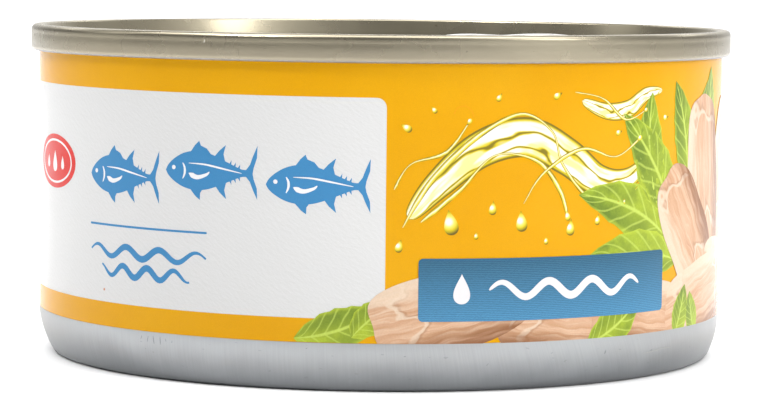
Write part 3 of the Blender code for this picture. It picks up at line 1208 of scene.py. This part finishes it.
layers = {"panel": 1, "fins": 1.6, "ink": 2, "white": 3}

fish = {  # a fish 1 long that faces left: its back from nose to tail, then the rest
    "back": ((0, 0), (0.03, 0.052), (0.10, 0.112), (0.20, 0.165), (0.32, 0.192), (0.45, 0.186), (0.58, 0.146),
             (0.72, 0.086), (0.83, 0.040), (0.885, 0.034)),
    "tail": ((0.925, 0.085), (0.955, 0.165), (1.0, 0.265), (0.995, 0.150), (0.962, 0.055), (0.952, 0)),
    "belly": -0.92,  # a little flatter than the back
    "fins": (
        ((0.28, 0.170), (0.335, 0.245), (0.385, 0.290), (0.405, 0.245), (0.47, 0.220), (0.53, 0.150)),
        ((0.545, 0.140), (0.605, 0.205), (0.675, 0.262), (0.650, 0.175), (0.67, 0.095)),
        ((0.56, -0.125), (0.61, -0.190), (0.680, -0.250), (0.660, -0.165), (0.68, -0.085)),
        ((0.28, -0.165), (0.345, -0.235), (0.395, -0.270), (0.398, -0.205), (0.43, -0.160)),
    ),
    "finlets": ((0.705, 0.092), (0.75, 0.072), (0.795, 0.054)),
    "finletSize": 0.030,
    "finletFoot": (0.8, 0.026, 0.6),
    "eye": (0.095, 0.028, 0.021),
    "gill": ((0.200, 0.075), (0.222, 0.030), (0.222, -0.025), (0.200, -0.075)),
    "sideFin": ((0.27, -0.020), (0.36, -0.055), (0.46, -0.030), (0.50, 0.0)),
    "stripe": ((0.27, 0.075), (0.45, 0.068), (0.65, 0.035), (0.84, 0.0)),
    "sideFinWidth": (0.62, 0.7, 6, 0.04),
    "gillWidth": (0.08, 0.20),
    "stripeWidth": (0.05, 0.16),
}


def sideFinWidth(t):  # wide soon after its root, then narrower to its tip
    width, power, opening, least = fish["sideFinWidth"]
    return width * (1 - t) ** power * min(1, opening * t) + least


def fishShapes(x, y, length, blue, white):
    s = fish

    def scaled(points):
        return [(x + length * px, y + length * py) for px, py in points]

    back = smoothLine(s["back"], 4) + smoothLine(s["tail"][:3], 3)[:-1] + list(s["tail"][2:])
    belly = [(px, s["belly"] * py) for px, py in reversed(back[1:-1])]
    pieces = [inkShape("fish", scaled(back + belly), layers["ink"], blue)]
    for fin in s["fins"]:
        pieces.append(inkShape("fin", scaled(fin), layers["fins"], blue))
    rise, (front, foot, rear) = s["finletSize"], s["finletFoot"]
    for fx, fy in s["finlets"]:
        for side in (1, s["belly"]):
            spike = [(fx, side * fy * front), (fx + rise, side * (fy + rise)), (fx + foot, side * fy * rear)]
            pieces.append(inkShape("finlet", scaled(spike), layers["fins"], blue))
    eyeX, eyeY, eyeSize = s["eye"]
    eye = arcPoints((x + length * eyeX, y + length * eyeY), length * eyeSize, 0, 345, steps=15)
    pieces.append(inkShape("eye", eye, layers["white"], white))
    for name, steps, widthAt in (
        ("gill", 5, widths(*s["gillWidth"])),
        ("sideFin", 6, sideFinWidth),
        ("stripe", 6, widths(*s["stripeWidth"])),
    ):
        line = scaled(smoothLine(s[name], steps))
        pieces.append(alongLine(line, widthAt, name, layers["white"], white))
    return pieces


def makePanel(shift, name):
    paper = paperFinish()
    blue, white, red = (plainInk(*panelInk[key]) for key in ("blue", "white", "red"))
    s = panel
    box = roundedBox(s["left"] + shift, s["right"] + shift, s["low"], s["high"], s["corner"])
    pieces = [inkShape("panel", box, layers["panel"], paper)]
    s = school
    length = (s["right"] - s["left"] - s["gap"] * (s["count"] - 1)) / s["count"]
    for i in range(s["count"]):
        x = s["left"] + shift + i * (length + s["gap"])
        y = s["middle"] + (s["stagger"] if i % 2 else -s["stagger"])
        pieces += fishShapes(x, y, length, blue, white)
    s = rule
    box = roundedBox(s["left"] + shift, s["right"] + shift, s["low"], s["high"], s["corner"], 2)
    pieces.append(inkShape("rule", box, layers["ink"], blue))
    s = flourish
    for k in range(s["rows"]):
        left, right = s["left"] + s["inset"] * k + shift, s["right"] - s["inset"] * k + shift
        height, offset = s["top"] - s["step"] * k, s["offset"] * k
        line = waveLine(left, right, height, s["swing"], s["crests"], offset, steps=60)
        pieces.append(alongLine(line, widths(*s["widths"]), "flourish", layers["ink"], blue))
    s = seal
    x, halfLength, halfHeight = s["x"] + shift, s["halfLength"], s["halfHeight"]
    oval = ovalPoints(x, s["y"], halfLength, halfHeight, steps=64)
    pieces.append(inkShape("seal", oval, layers["ink"], red))
    ring = ovalPoints(x, s["y"], halfLength * s["ring"][0], halfHeight * s["ring"][1], steps=64)
    pieces.append(alongLine(ring + ring[:1], widths(s["ringWidth"]), "sealRing", layers["white"], white))
    for dx, radius in s["drops"]:
        drop = dropOutline(x + dx, s["y"] - s["dropDown"], radius, upright)
        pieces.append(inkShape("sealDrop", drop, layers["white"], white))
    settle(joined(pieces, name))


banner = {
    "left": 4.4,
    "right": 37.6,
    "low": 8.1,
    "high": 15.15,
    "corner": 0.5,
    "white": ("banner white", (0.60, 0.59, 0.60), 0.02),
    "waveLeft": 12.5,
    "waveRight": 33.0,
    "waveHeight": 11.6,
    "swing": 0.85,
    "crests": 3.5,
    "waveWidth": (0.15, 0.75, 0.4),
    "drop": (9.3, 11.4, 1.35),
    "layer": 8,
}


def makeBanner(shift, name):
    s = banner
    blue, white = bannerFinish(s["low"], s["high"]), plainInk(*s["white"])
    box = roundedBox(s["left"] + shift, s["right"] + shift, s["low"], s["high"], s["corner"], 4)
    left, right = s["waveLeft"] + shift, s["waveRight"] + shift
    wave = waveLine(left, right, s["waveHeight"], s["swing"], s["crests"], 0, steps=90)
    x, y, radius = s["drop"]
    drop = dropOutline(x + shift, y, radius, upright)
    pieces = [
        inkShape("banner", box, s["layer"], blue),
        alongLine(wave, widths(*s["waveWidth"]), "bannerWave", s["layer"] + 1, white),
        inkShape("bannerDrop", drop, s["layer"] + 1, white),
    ]
    settle(joined(pieces, name))


# Oil: middle lines and widths of its sheets and cords, then the drops round them
oil = {
    "sheets": (
        (4.3, ((3.2, 19.6), (6.5, 23.4), (11.5, 27.4), (17.0, 28.6), (22.0, 26.4), (26.5, 23.6), (31.0, 23.6),
               (36.0, 26.6))),
        (1.9, ((24.0, 32.6), (27.5, 31.4), (31.0, 31.6), (34.0, 33.2), (37.0, 33.6))),
    ),
    "cords": (
        (0.62, ((2.6, 18.6), (5.6, 23.6), (10.5, 28.4), (16.0, 31.2), (20.0, 29.2), (21.5, 25.4),
                (25.5, 21.4), (30.5, 21.0), (34.5, 24.0))),
        (0.55, ((4.6, 19.2), (9.0, 22.8), (13.0, 26.6), (18.0, 26.0), (21.0, 22.8), (22.2, 19.6))),
        (0.40, ((1.6, 22.8), (3.4, 25.6), (7.4, 27.0), (10.0, 30.4))),
        (0.36, ((23.0, 33.6), (27.0, 32.8), (30.5, 30.4), (34.0, 31.4))),
        (0.45, ((16.5, 21.2), (19.0, 24.6), (24.0, 27.2), (29.0, 26.2), (33.0, 28.2))),
    ),
    "drops": (  # x, y, radius, bearing of the point in degrees
        (8.0, 18.9, 1.15, 100), (12.8, 20.6, 0.62, 85), (16.3, 19.0, 0.95, 95), (22.6, 18.2, 0.75, 85),
        (26.4, 19.0, 0.5, 80), (3.0, 29.6, 0.55, 150), (6.0, 31.6, 0.36, 130), (13.4, 33.0, 0.42, 60),
        (20.6, 33.2, 0.5, 30), (2.2, 16.4, 0.6, 75), (29.4, 28.9, 0.42, 20), (10.9, 17.6, 0.34, 90),
        (19.4, 16.9, 0.36, 90), (37.8, 30.4, 0.45, 10),
    ),
    "sheetWidths": (0.85, 0.6, 0.2),  # lean to the start, fullness, least
    "cordWidths": (0.75, 0.35, 9),  # middle, swing and how fast it swings
    "cordEnds": (0.3, 0.5),
    "lineSteps": 10,
    "cordEnd": 0.85,  # size of the drop that a cord ends in
    "layers": (2, 3, 3.1),  # of the sheets, the lowest cord and its end
    "layerStep": 0.3,
}


def makeOil(shift, name):
    s = oil
    sheetInk, cordInk, dropInk = oilFinish(), cordFinish(), beadFinish()
    sheetLayer, cordLayer, endLayer = s["layers"]
    early, full, least = s["sheetWidths"]
    middle, swing, pace = s["cordWidths"]
    pieces = []

    def placed(points):
        return [(x + shift, y) for x, y in smoothLine(points, s["lineSteps"])]

    def addDrop(kind, x, y, radius, tip, layer, size):
        outline = dropOutline(x, y, radius, tip)
        pieces.append(inkShape(kind, outline, layer, dropInk, (x, y), (size, size)))

    for width, points in s["sheets"]:
        def broad(t):
            return width * math.sin(math.pi * t ** early) ** full + least

        pieces.append(alongLine(placed(points), broad, "sheet", sheetLayer, sheetInk, 6))
    for k, (width, points) in enumerate(s["cords"]):
        def swelling(t):
            ends = min(1, pace * t + s["cordEnds"][0], pace * (1 - t) + s["cordEnds"][1])
            return width * (middle + swing * math.sin(pace * t + k)) * ends

        line, above = placed(points), s["layerStep"] * k
        pieces.append(alongLine(line, swelling, "cord", cordLayer + above, cordInk, 4))
        (x0, y0), (x1, y1) = line[-3], line[-1]
        tip = math.atan2(y1 - y0, x1 - x0) + math.pi
        addDrop("cordEnd", x1, y1, width * s["cordEnd"], tip, endLayer + above, width)
    for x, y, radius, degrees in s["drops"]:
        addDrop("drop", x + shift, y, radius, math.radians(degrees), cordLayer, radius)
    settle(joined(pieces, name))


# Leaves: x, y, length, width, bearing in degrees, curl
sprig = {
    "behind": (
        (39.0, 16.0, 16.5, 6.0, 150, 0.5), (36.5, 20.0, 13.5, 5.4, 104, -0.5),
        (40.5, 17.5, 17.0, 6.2, 122, 0.3), (43.5, 21.5, 13.5, 5.2, 98, 0.4),
        (41.0, 13.6, 16.5, 5.4, 170, 0.4), (46.0, 23.5, 12.5, 4.8, 74, -0.4),
        (51.0, 26.5, 9.5, 4.2, 96, -0.3), (22.0, 6.0, 9.5, 4.2, 18, 0.4),
        (-9.5, 6.0, 11.0, 4.8, 12, 0.5), (38.5, 6.4, 8.5, 4.0, 34, 0.4),
        (-3.0, 6.2, 7.0, 3.6, 44, -0.4), (58.0, 5.0, 8.0, 3.8, 40, 0.3),
    ),
    "over": (
        (25.0, 4.9, 9.5, 4.6, 24, 0.4), (40.4, 4.8, 6.4, 3.6, 62, 0.3), (45.8, 4.6, 5.4, 3.2, 112, -0.3),
        (60.5, 5.4, 8.0, 3.8, 84, 0.3),
    ),
    "layers": {"behind": 3.2, "over": 7.4},  # under the slices and over them
    "layerStep": 0.12,
    "fullness": 0.85,
    "teeth": (0.05, 34, 3),  # height, how many radians along, and how they lean
    "curlFrom": 0.3,
    "swing": (0.5, 0.6),
    "grid": (16, 6),
}


def leafAt(x, y, length, width, bearing, curl, layer, finish):
    full, (high, along, lean) = sprig["fullness"], sprig["teeth"]
    middle, sway = sprig["swing"]

    def spotAt(s, t):
        half = width / 2 * math.sin(math.pi * s ** full) ** full * (1 + high * math.sin(along * s + lean * t))
        turn, way = bearing + curl * (s - sprig["curlFrom"]), bearing + curl * (s - middle) * sway
        return (
            x + length * s * math.cos(way) - math.sin(turn) * half * t,
            y + length * s * math.sin(way) + math.cos(turn) * half * t,
        )

    return inkPatch("leaf", *sprig["grid"], spotAt, layer, finish)


def makeSprig(shift, name):
    green = leafFinish()
    pieces = []
    for group, lowest in sprig["layers"].items():
        for i, (x, y, length, width, degrees, curl) in enumerate(sprig[group]):
            layer = lowest + sprig["layerStep"] * i
            pieces.append(leafAt(x + shift, y, length, width, math.radians(degrees), curl, layer, green))
    settle(joined(pieces, name))


slab = {
    "slices": (  # x, y, half length, half width, turn in degrees, layer
        (57.2, 22.8, 9.4, 5.6, 64, 5.2), (48.8, 22.8, 9.8, 5.6, 96, 5.8), (43.6, 17.0, 8.4, 5.0, 128, 6.4),
        (57.0, 9.6, 9.2, 5.0, -12, 6.8), (48.0, 8.8, 9.6, 4.6, 12, 7.2), (34.5, 8.0, 8.6, 3.9, -6, 6.6),
        (8.6, 9.4, 9.4, 4.4, 14, 6.2), (22.0, 8.2, 8.8, 4.0, -5, 5.6),
    ),
    "squareness": 3.6,
    "taper": 0.10,
    "waves": ((0.022, 3, 1), (0.014, 8, 2)),  # height, how many round the edge, shift from slice to slice
    "steps": 60,
}


def sliceOutline(x, y, halfLength, halfWidth, turn, seed):  # a rounded slab with an uneven edge
    s, points = slab, []
    for t in spread(s["steps"])[:-1]:
        a = 2 * math.pi * t
        u, v = math.cos(a), math.sin(a)
        reach = (abs(u) ** s["squareness"] + abs(v) ** s["squareness"]) ** (-1 / s["squareness"])
        reach *= 1 + sum(high * math.sin(count * a + by * seed) for high, count, by in s["waves"])
        u, v = halfLength * reach * u, halfWidth * reach * v * (1 - s["taper"] * u)
        points.append((x + u * math.cos(turn) - v * math.sin(turn),
                       y + u * math.sin(turn) + v * math.cos(turn)))
    return points


def makeSlices(shift, name):
    flesh = filletFinish()
    pieces = []
    for i, (x, y, halfLength, halfWidth, degrees, layer) in enumerate(slab["slices"]):
        turn = math.radians(degrees)
        outline = sliceOutline(x + shift, y, halfLength, halfWidth, turn, i)
        pieces.append(inkShape("slice", outline, layer, flesh, (x + shift, y), (halfLength, halfWidth), turn))
    settle(joined(pieces, name))


wear = {
    # small marks: x, height, length, degrees, width, all in millimetres but the angle. The dark marks on the
    # band are wear; the pale strokes on the seam are painted glints
    "band": (
        (-29.4, 4.75, 0.5, 66, 0.08), (-28.4, 4.65, 0.7, 76, 0.09), (-27.5, 4.60, 0.9, 98, 0.11),
        (-26.5, 4.60, 0.9, 92, 0.10), (-25.7, 4.72, 0.4, 110, 0.08), (-24.8, 4.60, 0.3, 80, 0.09),
        (28.0, 3.9, 0.45, 70, 0.12), (36.0, 3.5, 0.3, 20, 0.10), (3.0, 4.2, 0.3, 15, 0.10),
        (12.5, 3.2, 0.4, 50, 0.08), (-8.0, 4.9, 0.25, 30, 0.10),
    ),
    # pale strokes on the seam's face: painted glints
    "seam": (
        (-59.0, 38.9, 0.5, 85, 0.16), (-56.5, 38.5, 0.35, 40, 0.14), (-53.0, 38.7, 0.55, 60, 0.12),
        (-50.5, 38.9, 0.3, 120, 0.16), (-45.5, 39.0, 0.25, 10, 0.12), (-20.0, 38.8, 0.4, 75, 0.10),
    ),
    "scrape": ((34.6, 3.25), (36.2, 3.32), (38.0, 3.50), (40.2, 3.48)),
    "scrapeWidth": 0.06,
    "hair": ((8.2, 31.2), (8.6, 31.9), (9.5, 32.1), (10.2, 31.6), (10.5, 30.9)),
    "hairWidth": 0.085,
    "fleck": (-35.9, 9.7, 0.16),
    "layers": {"metal": 0, "hair": 1.2, "fleck": 2.2},
    "blunt": 0.1,
    "dark": ("dark scuff", (0.23, 0.24, 0.25), 0.1),
    "soft": ("soft scuff", (0.36, 0.37, 0.36), 0.1),
    # painted glints on the seam
    "pale": ("pale scuff", (0.62, 0.60, 0.53), 0.1),
    "line": ("fine scratch in the print", (0.63, 0.26, 0.008), 0.1),
    "brown": ("brown fleck", (0.45, 0.20, 0.10), 0.1),
}


def heelRadius(height):
    drop = max(0.0, shell["heelTop"] / mm - height) / (shell["heelRadius"] / mm)
    return can["wall"] - shell["heelRadius"] * (1 - math.sqrt(1 - drop * drop))


def seamRadius(height):  # the seam's face is upright
    return can["seam"] + lid["faceBulge"]


def makeMarks():
    s, on = wear, wear["layers"]
    dark, soft, pale, line, brown = (plainInk(*s[key]) for key in ("dark", "soft", "pale", "line", "brown"))
    pieces = []
    for marks, finish, radiusAt in ((s["band"], dark, heelRadius), (s["seam"], pale, seamRadius)):
        for x, y, length, degrees, width in marks:
            dx, dy = length * math.cos(math.radians(degrees)), length * math.sin(math.radians(degrees))
            ends = [(x + dx * t, y + dy * t) for t in (-0.5, -0.2, 0.2, 0.5)]
            widthAt = widths(0, width, 1.0, s["blunt"])
            pieces.append(alongLine(ends, widthAt, "mark", on["metal"], finish, radiusAt=radiusAt))
    scrape, hair = smoothLine(s["scrape"], 5), smoothLine(s["hair"], 5)
    widthAt = widths(s["scrapeWidth"])
    pieces.append(alongLine(scrape, widthAt, "scrape", on["metal"], soft, radiusAt=heelRadius))
    pieces.append(alongLine(hair, widths(s["hairWidth"]), "hair", on["hair"], line))
    x, y, radius = s["fleck"]
    pieces.append(inkShape("fleck", ovalPoints(x, y, radius, radius, steps=12), on["fleck"], brown))
    settle(joined(pieces, "wearMarks"))


# Studio

view = {
    "frameWidth": 762,
    "focal": 3097.7,  # in pixels of that frame
    "place": (0.0, -0.38358, 0.04851),
    "pitch": 0.0803,
    "yaw": -0.00049,
    "roll": 0.0103,
    "sensor": 36,
    "clip": (0.01, 50),
}


def makeCamera():
    s = view
    data = bpy.data.cameras.new("camera")
    data.sensor_width = s["sensor"]
    data.lens = s["focal"] / s["frameWidth"] * s["sensor"]
    data.clip_start, data.clip_end = s["clip"]
    camera = bpy.data.objects.new("camera", data)
    bpy.context.scene.collection.objects.link(camera)
    turn = (
        Matrix.Rotation(s["yaw"], 4, "Z")
        @ Matrix.Rotation(math.pi / 2 - s["pitch"], 4, "X")
        @ Matrix.Rotation(s["roll"], 4, "Z")
    )
    camera.matrix_world = Matrix.Translation(s["place"]) @ turn
    bpy.context.scene.camera = camera


floor = {
    "size": 14.0,
    "colour": (0.845, 0.845, 0.845),
    "shade": (0.825, 0.825, 0.825),
    "mottle": (3.0, 2, 0.5),
    "roughness": 0.6,
}


def makeFloor():
    s = floor
    deselectAll()
    bpy.ops.mesh.primitive_plane_add(size=s["size"], location=(0, 0, 0))
    piece = bpy.context.active_object
    piece.name = "studioFloor"
    made, tree, shader = newFinish("pale floor", s["colour"], s["roughness"])
    mottle = noise(tree, objectPlace(tree, (1, 1, 1)), *s["mottle"])
    put(tree, shader, "Base Color", mixColour(tree, mottle, s["shade"], s["colour"]))
    piece.data.materials.append(made)


# bearings from the camera's side (right is positive) and heights above the horizon, in degrees
sky = {
    "round": (  # bearing, brightness level with the can
        (-180, 1.0), (-157, 0.70), (-138, 0.30), (-115, 0.31), (-60, 0.26), (-25, 0.27),
        (5, 0.30), (27, 0.64), (38, 0.84), (54, 1.08), (66, 1.04), (80, 0.80),
        (98, 0.48), (118, 0.56), (135, 0.48), (154, 0.9), (180, 1.0),
    ),
    "ceiling": 0.30,
    "ceilingEnds": (0.56, 0.84),  # as the sine of the height above the horizon
}
softboxes = (
    # name, bearing, elevation, distance, width, height, power
    ("key", -51, 49, 0.60, 0.06, 0.06, 0.88),
    ("right softbox", 59, 28, 0.80, 0.17, 0.30, 1.1),
    ("right fill", 50, 26, 0.80, 0.17, 0.26, 2.3),
    ("left softbox", -99, 36, 0.90, 0.26, 0.70, 0.72),
    ("high left softbox", -84, 64, 0.80, 0.50, 0.50, 1.0),
    ("high right softbox", 66, 66, 0.80, 0.40, 0.40, 0.8),
    ("overhead softbox", 0, 84, 0.80, 1.50, 0.70, 8.2),
    ("rear left softbox", -153, 29, 0.90, 0.84, 0.08, 0.55),
    ("rear right softbox", 153, 29, 0.90, 0.84, 0.08, 0.55),
    ("back floor light", 180, 27, 2.45, 4.4, 4.0, 85.0),
)


def makeSurround():
    world = bpy.data.worlds.new("studio surround")
    world.use_nodes = True
    bpy.context.scene.world = world
    tree = world.node_tree
    back = tree.nodes["Background"]
    x, y, z = addNode(tree, "SeparateXYZ", Vector=addNode(tree, "TexCoord").outputs["Generated"]).outputs
    bearing = calc(tree, "ARCTAN2", x, calc(tree, "MULTIPLY", y, -1.0))
    stops = [((degrees + 180) / 360, (level, level, level)) for degrees, level in sky["round"]]
    level = ramp(tree, rescale(tree, bearing, (-math.pi, math.pi)), stops)
    high = rescale(tree, z, sky["ceilingEnds"], smooth=True)
    strength = addNode(tree, "Mix", {"data_type": "FLOAT"}, in0=high, in2=level, in3=sky["ceiling"])
    put(tree, back, "Strength", strength.outputs[0])
    put(tree, back, "Color", (1.0, 1.0, 1.0))


def makeSoftboxes():
    middle = Vector((0, 0, can["height"] / 2))
    for name, bearing, elevation, distance, width, height, power in softboxes:
        lamp = bpy.data.lights.new(name, "AREA")
        lamp.shape = "RECTANGLE"
        lamp.size, lamp.size_y = width, height
        lamp.energy = power
        a, e = math.radians(bearing), math.radians(elevation)
        towards = Vector((math.sin(a) * math.cos(e), -math.cos(a) * math.cos(e), math.sin(e)))
        box = bpy.data.objects.new(name, lamp)
        bpy.context.scene.collection.objects.link(box)
        box.rotation_mode = "QUATERNION"
        box.location = middle + towards * distance
        facing = Vector((0, 0, 1)) if name == "back floor light" else towards
        box.rotation_quaternion = facing.to_track_quat("Z", "Y")
        box.visible_camera = False
        box.visible_glossy = name not in ("back floor light", "right fill")


makeCamera()
makeShell()
makeLid()
makeRivet()
makeTab()
makeWrap()
for shift, side in ((0.0, "Front"), (wrap["round"] / 2, "Back")):
    makePanel(shift, "panelPrint" + side)
    makeOil(shift, "oilPrint" + side)
    makeSprig(shift, "leafPrint" + side)
    makeSlices(shift, "filletPrint" + side)
    makeBanner(shift, "bannerPrint" + side)
makeMarks()
makeFloor()
makeSurround()
makeSoftboxes()
bpy.context.scene.view_settings.view_transform = "Standard"
print("studio ready")

print("done")
